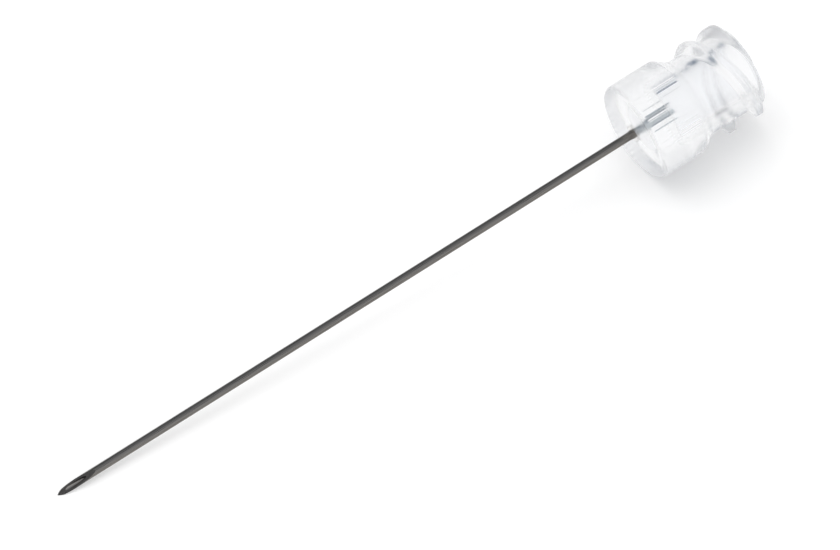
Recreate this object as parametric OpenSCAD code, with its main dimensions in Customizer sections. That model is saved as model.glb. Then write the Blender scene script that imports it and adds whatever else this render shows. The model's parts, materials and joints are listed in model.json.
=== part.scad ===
// A hypodermic needle: a ground steel tube bonded into a moulded hub that locks on a syringe.
// Every piece is drawn along the needle's own axis, from the hub's mouth at z = 0 to the point,
// and lie() then lays the needle down as it comes to rest on a table.

/* [Cannula] */
// Outside diameter of the steel tube
cannula_od = 0.64; // [0.4:0.01:1.2]
// Diameter of the tube's lumen
cannula_id = 0.337; // [0.15:0.001:0.36]
// Length of tube in front of the hub, up to the point
exposed_len = 53.5; // [12:0.5:90]
// Length of tube held inside the hub
embed_len = 3.45; // [3:0.05:5]
// Angle between the main bevel and the axis
bevel_angle = 10.5; // [8:0.5:18]
// Angle between each side grind of the point and the axis
lancet_angle = 24; // [14:0.5:24]
// Turn of each side grind about the axis, away from the main bevel
lancet_turn = 30; // [20:1:45]
// Length that the side grinds take off the main bevel's point
lancet_loss = 0.1; // [0.1:0.01:0.5]
// Turn of the bevel about the axis, away from the middle of the ribbed panel
bevel_turn = 10; // [-60:5:60]

/* [Hub] */
// Length of the hub, from its mouth to its front face
hub_len = 10.1; // [10:0.1:14]
// Diameter of the barrel, the wide front part
barrel_d = 8; // [7.9:0.1:10]
// Length of the barrel
barrel_len = 4.1; // [3.2:0.1:4.6]
// Radius of the round between the barrel and the front face
front_round = 0.45; // [0.1:0.05:0.8]
// Length of the slope from the barrel down to the waist
shoulder_len = 1.1; // [0.4:0.1:1.3]
// Diameter of the waist and of the thread's root
core_d = 6.4; // [6:0.1:6.7]

/* [Ribs] */
// Ribs in each of the two panels
rib_count = 11; // [5:2:13]
// Angle from one rib to the next
rib_pitch = 7; // [6:0.25:9]
// Width of the groove between two ribs, at the surface
groove_w = 0.3; // [0.1:0.02:0.34]
// Depth of the groove
groove_depth = 0.13; // [0.04:0.01:0.2]
// Distance from the front face to the ribs
rib_setback = 0.26; // [0.1:0.02:1]

/* [Locking thread] */
// Diameter over the thread's crests
thread_d = 7.8; // [7.4:0.05:7.85]
// Advance of each start in one turn
thread_lead = 5; // [4:0.25:6]
// Starts, spread evenly
thread_starts = 2; // [1:1:2]
// Width of the crest
crest_w = 0.6; // [0.3:0.05:0.8]
// Slope of each flank, away from square to the axis
flank_angle = 27; // [15:1:35]
// Distance of the crest from the mouth, in the middle of the ribbed panel
thread_z = 1.9; // [1.5:0.05:2.2]
// Turn of the thread past the middle of the ribbed panel, up to its front end
thread_ahead = 112; // [60:2:140]
// Turn over which the front end rises to full height
thread_runout = 26; // [10:2:50]

/* [Socket] */
// Diameter of the socket at the mouth
socket_d = 4.27; // [4.2:0.01:4.35]
// Depth of the socket
socket_len = 7.5; // [6:0.1:7.8]
// Loss of diameter as a share of the depth, in percent
socket_taper = 6; // [5:0.5:7]
// Width of the chamfer at the mouth
mouth_chamfer = 0.12; // [0.05:0.01:0.3]
// Radius at which the thread's end starts to slope away from the mouth
mouth_flat_r = 3.45; // [3.4:0.05:3.6]
// Slope there, away from square to the axis
mouth_slope = 35; // [10:1:45]

/* [Bond] */
// Diameter of the well that holds the adhesive
well_d = 1.4; // [1.3:0.05:2.4]
// Depth of the well
well_depth = 0.8; // [0.3:0.05:1.2]
// How far the adhesive climbs the tube in front of the hub
climb = 0.35; // [0.2:0.05:1.5]
// Thickness of the adhesive at the top of the climb
climb_edge = 0.02; // [0.01:0.01:0.05]
// Gap between the tube and the bore behind the well, on each side
tube_gap = 0.01; // [0.005:0.005:0.03]

/* [Hidden] */
$fn = 96;

tube_r = cannula_od / 2;
tip_z = hub_len + exposed_len;
bevel_len = cannula_od / tan(bevel_angle) - lancet_loss;
cut_size = 2 * cannula_od / tan(bevel_angle) + 4;

barrel_r = barrel_d / 2;
core_r = core_d / 2;
thread_r = thread_d / 2;
waist_z = hub_len - barrel_len - shoulder_len;
round_steps = 6;

// the thread's root lies inside the core, and its rear end runs past the mouth, where it is cut off
root_sink = 0.2;
root_r = core_r - root_sink;
root_w = crest_w + 2 * (thread_r - root_r) * tan(flank_angle);
thread_behind = 360 * (thread_z + root_w / 2 + 0.1) / thread_lead;
thread_overrun = root_w + 0.3;
thread_step = 5;
lowest_lift = 0.1;

well_r = well_d / 2;
well_z = hub_len - well_depth;
climb_steps = 8;

// at rest the front round and the point touch the floor, midway between the last two ribs
rest_reach = tip_z - (hub_len - front_round);
rest_drop = barrel_r - front_round - tube_r;
tilt = atan2(rest_drop, rest_reach) + asin(front_round / norm([rest_drop, rest_reach]));
roll = (rib_count / 2 - 1) * rib_pitch;
floor_z = tube_r * cos(tilt) + tip_z * sin(tilt);
middle_x = (tip_z * cos(tilt) - (tube_r + thread_r) * sin(tilt)) / 2;

// lays a piece down, with the point towards -X and the middle of the lying needle over the origin
module lie()
    translate([middle_x, 0, floor_z])
        rotate([0, -90 - tilt, 0])
            rotate([0, 0, -roll])
                children();

// points on an arc about [x, z], for a profile that is turned about the axis
function arc(x, z, radius, from, to) =
    [for (i = [0:round_steps])
        let (a = from + (to - from) * i / round_steps)
        [x + radius * cos(a), z + radius * sin(a)]];

// the four corners of the thread at angle a: root, crest, crest, root
function thread_section(a, rise) =
    let (
        z = thread_z + thread_lead * a / 360,
        crest_r = root_r + (thread_r - root_r) * rise,
        half = (root_w - (root_w - crest_w) * rise) / 2
    )
    [for (p = [[root_r, -root_w / 2], [crest_r, -half], [crest_r, half], [root_r, root_w / 2]])
        [p[0] * cos(a), p[0] * sin(a), z + p[1]]];

// one start of the right-hand thread
module thread_start() {
    turn = thread_behind + thread_ahead;
    last = ceil(turn / thread_step);
    points = [for (i = [0:last])
        let (
            a = -thread_behind + turn * i / last,
            rise = max(lowest_lift, min(1, (thread_ahead - a) / thread_runout))
        )
        each thread_section(a, rise)];
    sides = [for (i = [0:last - 1], j = [0:3])
        let (k = (j + 1) % 4, here = 4 * i, next = 4 * i + 4)
        each [[here + j, here + k, next + k], [here + j, next + k, next + j]]];
    polyhedron(points, concat([[3, 2, 1, 0]], sides, [[for (j = [0:3]) 4 * last + j]]));
}

// the hub's outside without ribs or thread, run on past the mouth
module hub_blank()
    rotate_extrude()
        polygon(concat(
            [[0, -thread_overrun], [core_r, -thread_overrun], [core_r, waist_z]],
            [[barrel_r, waist_z + shoulder_len]],
            arc(barrel_r - front_round, hub_len - front_round, front_round, 0, 90),
            [[0, hub_len]]
        ));

// what lies behind the mouth, with the slope that trims the thread's end
module mouth_cut() {
    far_r = barrel_r + 1;
    far_z = -thread_overrun - 1;
    rotate_extrude()
        polygon([
            [0, far_z],
            [far_r, far_z],
            [far_r, (far_r - mouth_flat_r) * tan(mouth_slope)],
            [mouth_flat_r, 0],
            [0, 0]
        ]);
}

// the tapered socket that takes a syringe's tip
module socket_cut() {
    lead_in = 1;
    floor_r = (socket_d - socket_len * socket_taper / 100) / 2;
    rotate_extrude()
        polygon([
            [0, -lead_in],
            [socket_d / 2 + mouth_chamfer + lead_in, -lead_in],
            [socket_d / 2, mouth_chamfer],
            [floor_r, socket_len],
            [0, socket_len]
        ]);
}

// the grooves that leave the ribs standing, in two panels on opposite sides
module rib_cuts() {
    start_z = waist_z - 1;
    end_z = hub_len - rib_setback;
    over = 0.2;
    floor_w = groove_w / 4;
    half_step = (groove_w - floor_w) / 2 * over / groove_depth;
    for (panel = [0, 180], i = [1:rib_count - 1])
        rotate([0, 0, panel + (i - rib_count / 2) * rib_pitch])
            translate([0, 0, start_z])
                linear_extrude(end_z - start_z)
                    polygon([
                        [barrel_r - groove_depth, -floor_w / 2],
                        [barrel_r + over, -groove_w / 2 - half_step],
                        [barrel_r + over, groove_w / 2 + half_step],
                        [barrel_r - groove_depth, floor_w / 2]
                    ]);
}

module hub()
    color("aliceblue")
        lie()
            difference() {
                union() {
                    hub_blank();
                    for (i = [0:thread_starts - 1])
                        rotate([0, 0, i * 360 / thread_starts])
                            thread_start();
                }
                mouth_cut();
                socket_cut();
                rib_cuts();
                translate([0, 0, well_z])
                    cylinder(r = well_r, h = well_depth + 1);
                translate([0, 0, socket_len - 1])
                    cylinder(r = tube_r + tube_gap, h = hub_len);
            }

// a flat cut, facing along the turned bevel's direction, that meets the tube at a point
module grind(place, turn, angle)
    translate(place)
        rotate([0, 0, turn])
            rotate([0, 90 - angle, 0])
                translate([-cut_size / 2, -cut_size / 2, 0])
                    cube(cut_size);

module cannula()
    color("silver")
        lie()
            difference() {
                translate([0, 0, hub_len - embed_len])
                    cylinder(r = tube_r, h = embed_len + exposed_len + 1);
                translate([0, 0, hub_len - embed_len - 1])
                    cylinder(d = cannula_id, h = embed_len + exposed_len + 3);
                rotate([0, 0, bevel_turn]) {
                    grind([tube_r, 0, tip_z - bevel_len], 0, bevel_angle);
                    for (side = [-1, 1])
                        grind([-tube_r, 0, tip_z], side * lancet_turn, lancet_angle);
                }
            }

// the bead fills the well and climbs the tube in a hollow curve
module adhesive()
    color("wheat", 0.7)
        lie()
            rotate_extrude()
                polygon(concat(
                    [[tube_r, well_z], [well_r, well_z]],
                    [for (i = [0:climb_steps])
                        let (up = i / climb_steps, edge_r = tube_r + climb_edge)
                        [edge_r + (well_r - edge_r) * pow(1 - up, 3), hub_len + climb * up]],
                    [[tube_r, hub_len + climb]]
                ));

hub();
cannula();
adhesive();
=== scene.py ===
"""The looks of a hypodermic needle that lies on a pale floor: frosted hub, drawn steel tube, resin bead."""

import json
import math

import bpy
from mathutils import Matrix, Vector


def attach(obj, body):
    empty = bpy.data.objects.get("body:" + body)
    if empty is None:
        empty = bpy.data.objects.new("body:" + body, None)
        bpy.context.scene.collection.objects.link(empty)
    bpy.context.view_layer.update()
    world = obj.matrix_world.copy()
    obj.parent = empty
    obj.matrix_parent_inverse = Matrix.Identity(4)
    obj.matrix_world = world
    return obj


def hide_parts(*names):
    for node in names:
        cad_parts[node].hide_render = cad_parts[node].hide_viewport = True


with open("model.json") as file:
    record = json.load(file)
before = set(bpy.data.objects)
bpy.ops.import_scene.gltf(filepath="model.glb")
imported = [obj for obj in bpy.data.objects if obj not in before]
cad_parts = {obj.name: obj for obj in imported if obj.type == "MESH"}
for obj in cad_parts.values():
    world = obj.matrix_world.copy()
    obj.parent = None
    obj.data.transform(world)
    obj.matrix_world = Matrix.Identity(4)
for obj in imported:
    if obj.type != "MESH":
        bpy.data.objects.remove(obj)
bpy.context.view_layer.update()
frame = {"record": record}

# Sizes of the needle in millimetres, along its own axis: the hub's mouth at z = 0, the point towards +z

TUBE_R = 0.32
LUMEN_R = 0.1685
HUB_LEN = 10.1
EXPOSED_LEN = 53.5
EMBED_LEN = 3.45
TIP_Z = HUB_LEN + EXPOSED_LEN
TUBE_REAR_Z = HUB_LEN - EMBED_LEN
# painted light: inside the hub the tube is painted paler and bluish, from its rear end to this far short of
# the front
UNHAZED_IN_HUB = 0.45
PAINTED_HAZE_TO_Z = HUB_LEN - UNHAZED_IN_HUB

BEVEL_ANGLE = math.radians(10.5)
BEVEL_TURN = math.radians(10)
LANCET_ANGLE = math.radians(24)
LANCET_TURN = math.radians(30)
LANCET_LOSS = 0.1
BEVEL_LEN = 2 * TUBE_R / math.tan(BEVEL_ANGLE) - LANCET_LOSS

BARREL_R = 4.0
BARREL_LEN = 4.1
FRONT_ROUND = 0.45
SHOULDER_LEN = 1.1
CORE_R = 3.2
WAIST_Z = HUB_LEN - BARREL_LEN - SHOULDER_LEN
SHOULDER_Z = WAIST_Z + SHOULDER_LEN
ROUND_Z = HUB_LEN - FRONT_ROUND

RIB_COUNT = 11
RIB_PITCH = 7.0
RIB_SETBACK = 0.26

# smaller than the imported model's grooves, which would bend the view of the tube more than the photo shows
GROOVE_W = 0.22
GROOVE_DEPTH = 0.05

THREAD_R = 3.9
THREAD_LEAD = 5.0
THREAD_STARTS = 2
CREST_W = 0.6
FLANK_ANGLE = math.radians(27)
THREAD_Z = 1.9
THREAD_AHEAD = 112.0
THREAD_RUNOUT = 26.0

SOCKET_R = 2.135
SOCKET_LEN = 7.5
SOCKET_TAPER = 0.06
MOUTH_CHAMFER = 0.12
MOUTH_FLAT_R = 3.45
MOUTH_SLOPE = math.radians(35)

WELL_R = 0.7
WELL_DEPTH = 0.8
WELL_Z = HUB_LEN - WELL_DEPTH
CLIMB = 0.35
CLIMB_EDGE = 0.02

# the resin and the plastic wet the steel, so their walls reach this far into what they touch
WETTING = 0.004

# how far the edges are rounded, as the width over which two surfaces blend
WAIST_BLEND = 0.25
SHOULDER_BLEND = 0.1
ROOT_BLEND = 0.1
CREST_BLEND = 0.12
MOUTH_BLEND = 0.06
GROOVE_BLEND = 0.02

# how light each stretch of the steel is painted, with the plain outside as 1; the other tones are painted
# light and painted shade
OUTSIDE_TONE = 1.0
# painted light: the end in the hub is paler, for the frosted plastic's haze over it
PAINTED_HAZE_TONE = 2.6
# painted shade: the ground faces are darkened, standing in for the dark room that they reflect
GROUND_SHADE_TONE = 0.55
# painted light: the lumen wall at the opening is lightened, as if lit inside
OPENING_LIT_TONE = 1.5

MM = 0.001
ROLL = math.radians((RIB_COUNT / 2 - 1) * RIB_PITCH)


def needle_place():
    """The matrix that lays the needle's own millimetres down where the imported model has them."""
    mounts = {mount["name"]: mount for mount in frame["record"]["mounts"]}
    mouth = Vector(mounts["luer_socket"]["pos_m"])
    to_point = -Vector(mounts["luer_socket"]["axis"]).normalized()
    across = Vector((0, 1, 0))
    upward = across.cross(to_point)
    turned = upward * math.cos(ROLL) - across * math.sin(ROLL)
    turned_across = upward * math.sin(ROLL) + across * math.cos(ROLL)
    axes = Matrix((turned, turned_across, to_point)).transposed().to_4x4()
    return Matrix.Translation(mouth) @ axes @ Matrix.Scale(MM, 4)


# Shapes

def rounded_max(a, b, width):
    """The larger of two values, with the corner between them rounded over that width."""
    near = max(width - abs(a - b), 0.0) / width
    return max(a, b) + near * near * width / 4


def rounded_min(a, b, width):
    """The smaller of two values, rounded in the same way."""
    return -rounded_max(-a, -b, width)


def spread(start, end, steps):
    """Evenly spaced values from start to end, both included."""
    return [start + (end - start) * i / steps for i in range(steps + 1)]


def ring_mesh(name, rings, material, sharp_angle=40, painted_tones=None):
    """A closed skin through rings of points; each ring, and the row of rings, runs round to its start.

    A tone for each ring darkens or lightens the band of faces that starts there, as painted light and shade.
    """
    count = len(rings[0])
    points = [point for ring in rings for point in ring]
    faces = []
    for i in range(len(rings)):
        here, there = i * count, (i + 1) % len(rings) * count
        for j in range(count):
            k = (j + 1) % count
            faces.append((here + j, here + k, there + k, there + j))
    mesh = bpy.data.meshes.new(name)
    mesh.from_pydata(points, [], faces)
    own = mesh.attributes.new("own_mm", "FLOAT_VECTOR", "POINT")
    own.data.foreach_set("vector", [value for point in points for value in point])
    if painted_tones:
        painted_tone = mesh.attributes.new("painted_tone", "FLOAT", "FACE")
        painted_tone.data.foreach_set("value", [value for value in painted_tones for j in range(count)])
    mesh.polygons.foreach_set("use_smooth", [True] * len(faces))
    mesh.transform(needle_place())
    mesh.update()
    mesh.set_sharp_from_angle(angle=math.radians(sharp_angle))
    mesh.materials.append(material)
    piece = bpy.data.objects.new(name, mesh)
    bpy.context.scene.collection.objects.link(piece)
    return piece


def turned_ring(radius, z, angles):
    """A ring of points about the needle's axis."""
    return [(radius * math.cos(a), radius * math.sin(a), z) for a in angles]


def hub_angles():
    """Angles round the hub in radians, closer together over the two ribbed panels."""
    per_pitch = 14
    plain_steps = 72
    half_panel = RIB_COUNT * RIB_PITCH / 2
    angles = []
    for panel in (0, 180):
        angles += spread(panel - half_panel, panel + half_panel, RIB_COUNT * per_pitch)[:-1]
        angles += spread(panel + half_panel, panel + 180 - half_panel, plain_steps)[:-1]
    return [math.radians(a) for a in angles]


def groove_floor(angle):
    """Radius that the grooves between the ribs leave at an angle round the hub."""
    degrees = (math.degrees(angle) + 90) % 180 - 90
    groove = round(degrees / RIB_PITCH + RIB_COUNT / 2) - RIB_COUNT / 2
    if abs(groove) >= RIB_COUNT / 2:
        return BARREL_R + 1
    off = abs(math.radians(degrees - groove * RIB_PITCH)) * BARREL_R
    depth = GROOVE_DEPTH * (1 - off / (GROOVE_W / 2))
    flat_share = 0.85
    return BARREL_R - rounded_min(depth, GROOVE_DEPTH * flat_share, GROOVE_BLEND)


def thread_radius(angle, z):
    """Radius of the highest ridge of the thread at an angle and height, or zero away from it."""
    best = 0.0
    root_sink = 0.2
    overrun = 2
    root_r = CORE_R - root_sink
    behind = -360 * (THREAD_Z + overrun) / THREAD_LEAD
    for start in range(THREAD_STARTS):
        turn = math.degrees(angle) - 360 * start / THREAD_STARTS
        turn -= 360 * math.ceil((turn - THREAD_AHEAD) / 360)
        while turn > behind:
            off = abs(z - THREAD_Z - THREAD_LEAD * turn / 360)
            rise = min(1.0, (THREAD_AHEAD - turn) / THREAD_RUNOUT)
            crest = root_r + (THREAD_R - root_r) * rise
            flank = THREAD_R - (off - CREST_W / 2) / math.tan(FLANK_ANGLE)
            best = max(best, rounded_min(crest, flank, CREST_BLEND))
            turn -= 360
    return best


def hub_radius(angle, z):
    """Radius of the hub's outside from the mouth to the front round."""
    slope = (BARREL_R - CORE_R) / SHOULDER_LEN
    body = rounded_max(CORE_R, CORE_R + (z - WAIST_Z) * slope, WAIST_BLEND)
    body = rounded_min(body, BARREL_R, SHOULDER_BLEND)
    radius = rounded_max(body, thread_radius(angle, z), ROOT_BLEND)
    radius = rounded_min(radius, MOUTH_FLAT_R + z / math.tan(MOUTH_SLOPE), MOUTH_BLEND)
    return min(rounded_min(radius, groove_floor(angle), GROOVE_BLEND), BARREL_R)


def side_rings(angles):
    """The hub's outside from the mouth to the front round, closer together at the mouth and the shoulder."""
    mouth_end = 0.3
    waist_end = WAIST_Z - 0.3
    barrel_start = SHOULDER_Z + 0.2
    heights = spread(0, mouth_end, 5)[:-1] + spread(mouth_end, waist_end, 62)[:-1]
    heights += spread(waist_end, barrel_start, 20)[:-1] + spread(barrel_start, ROUND_Z, 5)[:-1]
    return [[(r * math.cos(a), r * math.sin(a), z) for a in angles for r in [hub_radius(a, z)]]
            for z in heights]


def front_rings(angles):
    """The round at the hub's front, where the grooves run out."""
    runout = 0.08
    runout_end = HUB_LEN - RIB_SETBACK + 0.06
    rings = []
    for turn in spread(0, math.pi / 2, 12):
        z = ROUND_Z + FRONT_ROUND * math.sin(turn)
        plain_r = BARREL_R - FRONT_ROUND + FRONT_ROUND * math.cos(turn)
        depth_share = min(max((runout_end - z) / runout, 0), 1)
        ring = []
        for a in angles:
            cut = plain_r - rounded_min(plain_r, groove_floor(a), GROOVE_BLEND)
            r = plain_r - max(cut, 0) * depth_share
            ring.append((r * math.cos(a), r * math.sin(a), z))
        rings.append(ring)
    return rings


def well_rings(angles):
    """The front face, the well with its rounded lip, and the guide bore behind it."""
    lip = 0.04
    face_start = BARREL_R - FRONT_ROUND - 0.25
    rings = [turned_ring(r, HUB_LEN, angles) for r in spread(face_start, WELL_R + lip, 6)]
    for turn in spread(0, math.pi / 2, 4)[1:]:
        lip_r = WELL_R + lip - lip * math.sin(turn)
        rings.append(turned_ring(lip_r, HUB_LEN - lip + lip * math.cos(turn), angles))
    rings.append(turned_ring(WELL_R, WELL_Z, angles))
    bore_r = TUBE_R - WETTING
    rings.append(turned_ring(bore_r, WELL_Z, angles))
    rings.append(turned_ring(bore_r, SOCKET_LEN, angles))
    return rings


def socket_rings(angles):
    """The socket from its floor to the mouth, with a fillet and a chamfer, and the mouth's flat."""
    floor_r = SOCKET_R - SOCKET_LEN * SOCKET_TAPER / 2
    floor_start = TUBE_R - WETTING + 0.2
    fillet = 0.15
    wall_start = SOCKET_LEN - 0.5
    flat_end = CORE_R - 0.08
    rings = [turned_ring(r, SOCKET_LEN, angles) for r in spread(floor_start, floor_r - fillet, 4)]
    for turn in spread(0, math.pi / 2, 4)[1:]:
        fillet_r = floor_r - fillet + fillet * math.sin(turn)
        rings.append(turned_ring(fillet_r, SOCKET_LEN - fillet + fillet * math.cos(turn), angles))
    for z in spread(wall_start, MOUTH_CHAMFER, 8):
        rings.append(turned_ring(SOCKET_R - z * SOCKET_TAPER / 2, z, angles))
    rings.append(turned_ring(SOCKET_R + MOUTH_CHAMFER, 0, angles))
    rings.append(turned_ring(flat_end, 0, angles))
    return rings


def hub_rings():
    """The hub's skin: outside, front face, well, guide bore, socket and mouth."""
    angles = hub_angles()
    return side_rings(angles) + front_rings(angles) + well_rings(angles) + socket_rings(angles)


def ground_z(x, y):
    """Height of the point's ground faces over a place in the tube's section."""
    turned_x = x * math.cos(BEVEL_TURN) + y * math.sin(BEVEL_TURN)
    turned_y = y * math.cos(BEVEL_TURN) - x * math.sin(BEVEL_TURN)
    z = TIP_Z - BEVEL_LEN - (turned_x - TUBE_R) / math.tan(BEVEL_ANGLE)
    for side in (-1, 1):
        along = (turned_x + TUBE_R) * math.cos(LANCET_TURN) + turned_y * side * math.sin(LANCET_TURN)
        z = min(z, TIP_Z - along / math.tan(LANCET_ANGLE))
    return z


def cannula_rings():
    """The tube's skin and its tones: the end in the hub made paler as painted light, outside, ground faces
    darkened as painted shade, lumen lightened as painted light at the opening, and rear end.
    """
    steps = 180
    angles = [2 * math.pi * i / steps for i in range(steps)]
    before_bevel = 0.3
    heel_z = TIP_Z - BEVEL_LEN - before_bevel
    ease = 0.03
    rings, painted_tones = [], []

    def wall(radius, share):
        return [(x, y, heel_z + (ground_z(x, y) - heel_z) * share)
                for a in angles for x, y in [(radius * math.cos(a), radius * math.sin(a))]]

    def add(ring, painted_tone):
        rings.append(ring)
        painted_tones.append(painted_tone)

    # painted light: the end in the hub takes a paler tone, for the frosted plastic's haze over it
    add(turned_ring(TUBE_R - ease, TUBE_REAR_Z, angles), PAINTED_HAZE_TONE)
    for z in spread(TUBE_REAR_Z + ease, PAINTED_HAZE_TO_Z, 6)[:-1]:
        add(turned_ring(TUBE_R, z, angles), PAINTED_HAZE_TONE)
    for z in spread(PAINTED_HAZE_TO_Z, heel_z, 24)[:-1]:
        add(turned_ring(TUBE_R, z, angles), OUTSIDE_TONE)
    for share in spread(0, 1, 16)[:-1]:
        add(wall(TUBE_R, share), OUTSIDE_TONE)
    # painted shade: the ground faces take a darker tone, for the dark room that they reflect
    add(wall(TUBE_R, 1), GROUND_SHADE_TONE)
    add(wall((TUBE_R + LUMEN_R) / 2, 1), GROUND_SHADE_TONE)
    # painted light: the lumen wall at the opening takes a lighter tone, as if lit inside
    for share in spread(1, 0, 16):
        add(wall(LUMEN_R, share), OPENING_LIT_TONE)
    for z in spread(heel_z, TUBE_REAR_Z + ease, 24)[1:]:
        add(turned_ring(LUMEN_R, z, angles), OUTSIDE_TONE)
    add(turned_ring(LUMEN_R + ease, TUBE_REAR_Z, angles), PAINTED_HAZE_TONE)
    return rings, painted_tones


def adhesive_rings():
    """The bead fills the well and climbs the tube in a hollow curve."""
    steps = 96
    angles = [2 * math.pi * i / steps for i in range(steps)]
    inner_r, outer_r = TUBE_R - WETTING, WELL_R + WETTING
    rings = [turned_ring(inner_r, WELL_Z, angles), turned_ring(outer_r, WELL_Z, angles)]
    edge_r = TUBE_R + CLIMB_EDGE
    hollow = 6
    for up in spread(0, 1, 24):
        bead_r = edge_r + (WELL_R - edge_r) * (1 - up) ** hollow
        rings.append(turned_ring(bead_r, HUB_LEN + CLIMB * up, angles))
    rings.append(turned_ring(inner_r, HUB_LEN + CLIMB, angles))
    return rings


# Materials

def node_socket(sockets, identifier):
    """The socket with that identifier, for nodes whose sockets share a name."""
    return next(entry for entry in sockets if entry.identifier == identifier)


def new_material(name):
    """A material, with its node tree and its shader."""
    material = bpy.data.materials.new(name)
    material.use_nodes = True
    tree = material.node_tree
    return material, tree, tree.nodes["Principled BSDF"]


def own_coordinates(tree, stretch):
    """The needle's own millimetres, stretched, as coordinates for a texture."""
    attribute = tree.nodes.new("ShaderNodeAttribute")
    attribute.attribute_name = "own_mm"
    mapping = tree.nodes.new("ShaderNodeMapping")
    mapping.inputs["Scale"].default_value = stretch
    tree.links.new(attribute.outputs["Vector"], mapping.inputs["Vector"])
    return mapping.outputs["Vector"]


def noise(tree, stretch, scale, detail=3.0):
    """A cloudy value that stays with the needle as it is moved."""
    node = tree.nodes.new("ShaderNodeTexNoise")
    node.inputs["Scale"].default_value = scale
    node.inputs["Detail"].default_value = detail
    tree.links.new(own_coordinates(tree, stretch), node.inputs["Vector"])
    return node.outputs["Fac"]


def ramp(tree, value, stops):
    """A colour that follows a value through stops of (place, grey or colour)."""
    node = tree.nodes.new("ShaderNodeValToRGB")
    elements = node.color_ramp.elements
    while len(elements) < len(stops):
        elements.new(0.5)
    for element, (place, colour) in zip(elements, stops):
        element.position = place
        element.color = (colour, colour, colour, 1) if isinstance(colour, float) else (*colour, 1)
    tree.links.new(value, node.inputs["Fac"])
    return node.outputs["Color"]


def bump(tree, height, strength, distance):
    """A surface direction that follows the slopes of a height."""
    node = tree.nodes.new("ShaderNodeBump")
    node.inputs["Strength"].default_value = strength
    node.inputs["Distance"].default_value = distance
    tree.links.new(height, node.inputs["Height"])
    return node.outputs["Normal"]


def hub_plastic():
    """Natural moulded plastic: frosted, but clear enough to show the tube, with a faint cloudiness."""
    material, tree, shader = new_material("milky_plastic")
    cloud = noise(tree, (1, 1, 0.5), 0.6)
    tree.links.new(ramp(tree, cloud, [(0.3, (0.978, 0.986, 0.998)), (0.7, (0.987, 0.992, 0.999))]),
                   shader.inputs["Base Color"])
    tree.links.new(ramp(tree, cloud, [(0.3, 0.22), (0.7, 0.26)]), shader.inputs["Roughness"])
    shader.inputs["IOR"].default_value = 1.4
    shader.inputs["Transmission Weight"].default_value = 1.0
    return material


def needle_steel():
    """Drawn stainless tube with fine lines along it: dull and dark, with painted shade on its ground faces
    for the dark room they reflect, and painted light on the lumen wall at the opening.

    Its end in the hub is painted paler and bluish, as painted light for the frosted plastic's haze over it.
    """
    material, tree, shader = new_material("drawn_steel")
    lines = noise(tree, (1, 1, 0.02), 30.0, 4.0)
    base = ramp(tree, lines, [(0.3, (0.146, 0.138, 0.125)), (0.7, (0.203, 0.192, 0.176))])
    # the tone per face is painted: painted shade on the ground faces, painted light on the lumen wall at the
    # opening and on the end in the hub
    painted_tone = tree.nodes.new("ShaderNodeAttribute")
    painted_tone.attribute_name = "painted_tone"
    scale = tree.nodes.new("ShaderNodeVectorMath")
    scale.operation = "SCALE"
    tree.links.new(base, scale.inputs[0])
    tree.links.new(painted_tone.outputs["Fac"], scale.inputs["Scale"])
    # painted light: the end in the hub turns paler and bluish, for the frosted plastic's haze over it
    haze_share = tree.nodes.new("ShaderNodeMapRange")
    haze_share.inputs["From Min"].default_value = OPENING_LIT_TONE
    haze_share.inputs["From Max"].default_value = PAINTED_HAZE_TONE
    tree.links.new(painted_tone.outputs["Fac"], haze_share.inputs["Value"])
    tint = tree.nodes.new("ShaderNodeVectorMath")
    tint.operation = "MULTIPLY"
    tree.links.new(scale.outputs["Vector"], tint.inputs[0])
    bluish = ramp(tree, haze_share.outputs["Result"], [(0.0, (1.0, 1.0, 1.0)), (1.0, (1.2, 1.36, 1.54))])
    tree.links.new(bluish, tint.inputs[1])
    tree.links.new(tint.outputs["Vector"], shader.inputs["Base Color"])
    tree.links.new(ramp(tree, lines, [(0.3, 0.24), (0.7, 0.36)]), shader.inputs["Roughness"])
    tree.links.new(bump(tree, lines, 0.15, 0.000005), shader.inputs["Normal"])
    shader.inputs["Metallic"].default_value = 1.0
    return material


def bond_resin():
    """Clear cured resin with a faint warm tint."""
    material, tree, shader = new_material("clear_resin")
    cloud = noise(tree, (1, 1, 1), 2.0)
    tree.links.new(ramp(tree, cloud, [(0.3, (0.95, 0.93, 0.9)), (0.7, (0.98, 0.97, 0.95))]),
                   shader.inputs["Base Color"])
    shader.inputs["Roughness"].default_value = 0.06
    shader.inputs["IOR"].default_value = 1.4
    shader.inputs["Transmission Weight"].default_value = 1.0
    return material


# Stage, light and camera

def background_rays(tree, kinds):
    """A value that is 1 for rays of one of those kinds, otherwise 0."""
    path = tree.nodes.new("ShaderNodeLightPath")
    total = path.outputs[kinds[0]]
    for kind in kinds[1:]:
        add = tree.nodes.new("ShaderNodeMath")
        add.operation = "MAXIMUM"
        tree.links.new(total, add.inputs[0])
        tree.links.new(path.outputs[kind], add.inputs[1])
        total = add.outputs["Value"]
    return total


def mixed(tree, factor, first, second):
    """The first colour where the factor is 0 and the second where it is 1."""
    node = tree.nodes.new("ShaderNodeMix")
    node.data_type = "RGBA"
    tree.links.new(factor, node.inputs["Factor"])
    tree.links.new(first, node_socket(node.inputs, "A_Color"))
    tree.links.new(second, node_socket(node.inputs, "B_Color"))
    return node_socket(node.outputs, "Result_Color")


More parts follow.
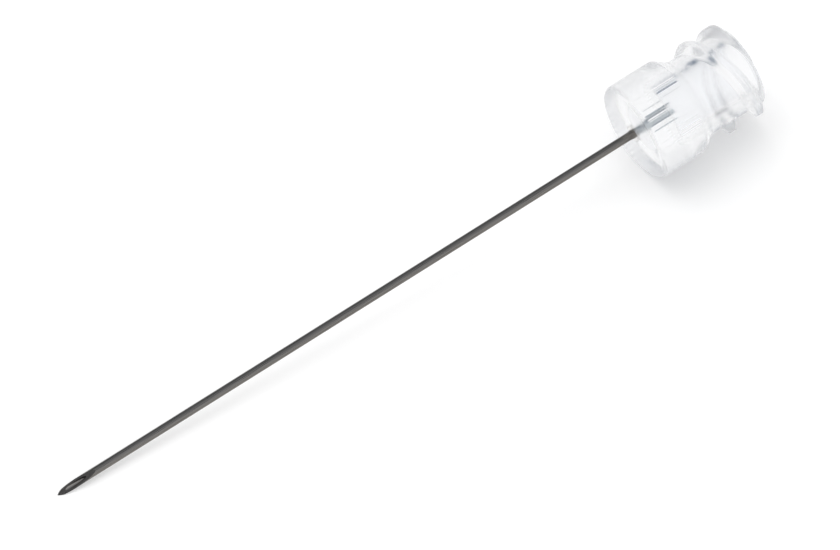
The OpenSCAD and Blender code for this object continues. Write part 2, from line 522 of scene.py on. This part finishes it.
def pale_floor():
    """A large pale floor that takes the needle's shadow, with some light of its own.

    Reflections and what is seen through the plastic show it plain white.
    """
    half = 1.5
    mesh = bpy.data.meshes.new("floor")
    corners = [(-half, -half, 0), (half, -half, 0), (half, half, 0), (-half, half, 0)]
    mesh.from_pydata(corners, [], [(0, 1, 2, 3)])
    material, tree, shader = new_material("floor_white")
    shader.inputs["Base Color"].default_value = (0.97, 0.97, 0.97, 1)
    shader.inputs["Roughness"].default_value = 0.9
    shader.inputs["Specular IOR Level"].default_value = 0.0
    own_light = 0.3
    glow = tree.nodes.new("ShaderNodeEmission")
    glow.inputs["Color"].default_value = (1, 1, 1, 1)
    mix = tree.nodes.new("ShaderNodeMixShader")
    share = tree.nodes.new("ShaderNodeMapRange")
    share.inputs["To Min"].default_value = own_light
    tree.links.new(background_rays(tree, ["Is Glossy Ray", "Is Transmission Ray"]), share.inputs["Value"])
    tree.links.new(share.outputs["Result"], mix.inputs["Fac"])
    tree.links.new(shader.outputs["BSDF"], mix.inputs[1])
    tree.links.new(glow.outputs["Emission"], mix.inputs[2])
    tree.links.new(mix.outputs["Shader"], tree.nodes["Material Output"].inputs["Surface"])
    mesh.materials.append(material)
    floor = bpy.data.objects.new("floor", mesh)
    bpy.context.scene.collection.objects.link(floor)


def pale_room():
    """A room that is white to look at, and that lights the needle evenly.

    Reflections show it brighter in front of the needle than behind it. Through the plastic it is pale, with
    a dark card high up behind the needle, which draws the streak across the hub.
    """
    world = bpy.data.worlds.new("room")
    bpy.context.scene.world = world
    world.use_nodes = True
    tree = world.node_tree
    background = tree.nodes["Background"]
    direction = tree.nodes.new("ShaderNodeTexCoord")
    parts = tree.nodes.new("ShaderNodeSeparateXYZ")
    tree.links.new(direction.outputs["Generated"], parts.inputs["Vector"])
    place = tree.nodes.new("ShaderNodeMapRange")
    place.inputs["From Min"].default_value = -1
    place.inputs["From Max"].default_value = 1
    tree.links.new(parts.outputs["Y"], place.inputs["Value"])
    room = ramp(tree, place.outputs["Result"],
                [(0.0, (0.95, 0.97, 1.02)), (0.26, (0.56, 0.58, 0.63)), (0.6, (0.42, 0.44, 0.48)),
                 (0.92, (0.22, 0.24, 0.27)), (1.0, (0.28, 0.3, 0.33))])
    card_direction = (-0.05, 0.83, 0.55)
    towards_card = tree.nodes.new("ShaderNodeVectorMath")
    towards_card.operation = "DOT_PRODUCT"
    towards_card.inputs[1].default_value = card_direction
    tree.links.new(direction.outputs["Generated"], towards_card.inputs[0])
    through_plastic = ramp(tree, towards_card.outputs["Value"],
                           [(0.6, (0.78, 0.78, 0.79)), (0.84, (0.03, 0.07, 0.13))])
    reflected_or_through = mixed(tree, background_rays(tree, ["Is Transmission Ray"]), room, through_plastic)
    plain = tree.nodes.new("ShaderNodeRGB")
    plain.outputs["Color"].default_value = (0.77, 0.77, 0.77, 1)
    seen_or_diffuse = background_rays(tree, ["Is Camera Ray", "Is Diffuse Ray"])
    colour = mixed(tree, seen_or_diffuse, reflected_or_through, plain.outputs["Color"])
    tree.links.new(colour, background.inputs["Color"])
    background.inputs["Strength"].default_value = 1.3


def overhead_lamp():
    """One soft lamp that shows only by its light, not in reflections or through the plastic."""
    direction = Vector((-0.25, 0.35, 0.9))
    lamp = bpy.data.lights.new("soft_lamp", "SUN")
    lamp.energy = 0.7
    lamp.angle = math.radians(50)
    lamp_object = bpy.data.objects.new("soft_lamp", lamp)
    lamp_object.rotation_euler = direction.to_track_quat("Z", "Y").to_euler()
    lamp_object.visible_glossy = False
    lamp_object.visible_transmission = False
    bpy.context.scene.collection.objects.link(lamp_object)


def allow_deep_paths():
    """Lets light turn often enough inside the clear hub to find its way out."""
    cycles = bpy.context.scene.cycles
    cycles.max_bounces = 32
    cycles.transmission_bounces = 32
    cycles.glossy_bounces = 24
    cycles.diffuse_bounces = 16


def set_camera():
    """A long lens that looks down on the needle as in the photo, with the point low on the left."""
    azimuth, elevation = math.radians(324.42275), math.radians(53.8279)
    aim = Vector((3.3026788, 2.3741622, -2.3703784)) * MM
    distance = 1.4196795
    back = Vector((math.sin(azimuth) * math.cos(elevation), -math.cos(azimuth) * math.cos(elevation),
                   math.sin(elevation)))
    lens = bpy.data.cameras.new("camera")
    lens.sensor_width = 36
    lens.lens = 800
    lens.clip_start = 0.1
    lens.clip_end = 20
    camera = bpy.data.objects.new("camera", lens)
    camera.location = aim + back * distance
    camera.rotation_euler = back.to_track_quat("Z", "Y").to_euler()
    bpy.context.scene.collection.objects.link(camera)
    bpy.context.scene.camera = camera


def add_piece(node, rings, material, sharp_angle=40, painted_tones=None):
    """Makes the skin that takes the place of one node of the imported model."""
    piece = ring_mesh(node + "_skin", rings, material, sharp_angle, painted_tones)
    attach(piece, "root")
    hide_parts(node)


set_camera()
bpy.context.scene.view_settings.view_transform = "Standard"
allow_deep_paths()
pale_room()
overhead_lamp()
pale_floor()
add_piece("hub", hub_rings(), hub_plastic())
tube_rings, tube_tones = cannula_rings()
add_piece("cannula", tube_rings, needle_steel(), 8, tube_tones)
add_piece("adhesive", adhesive_rings(), bond_resin())
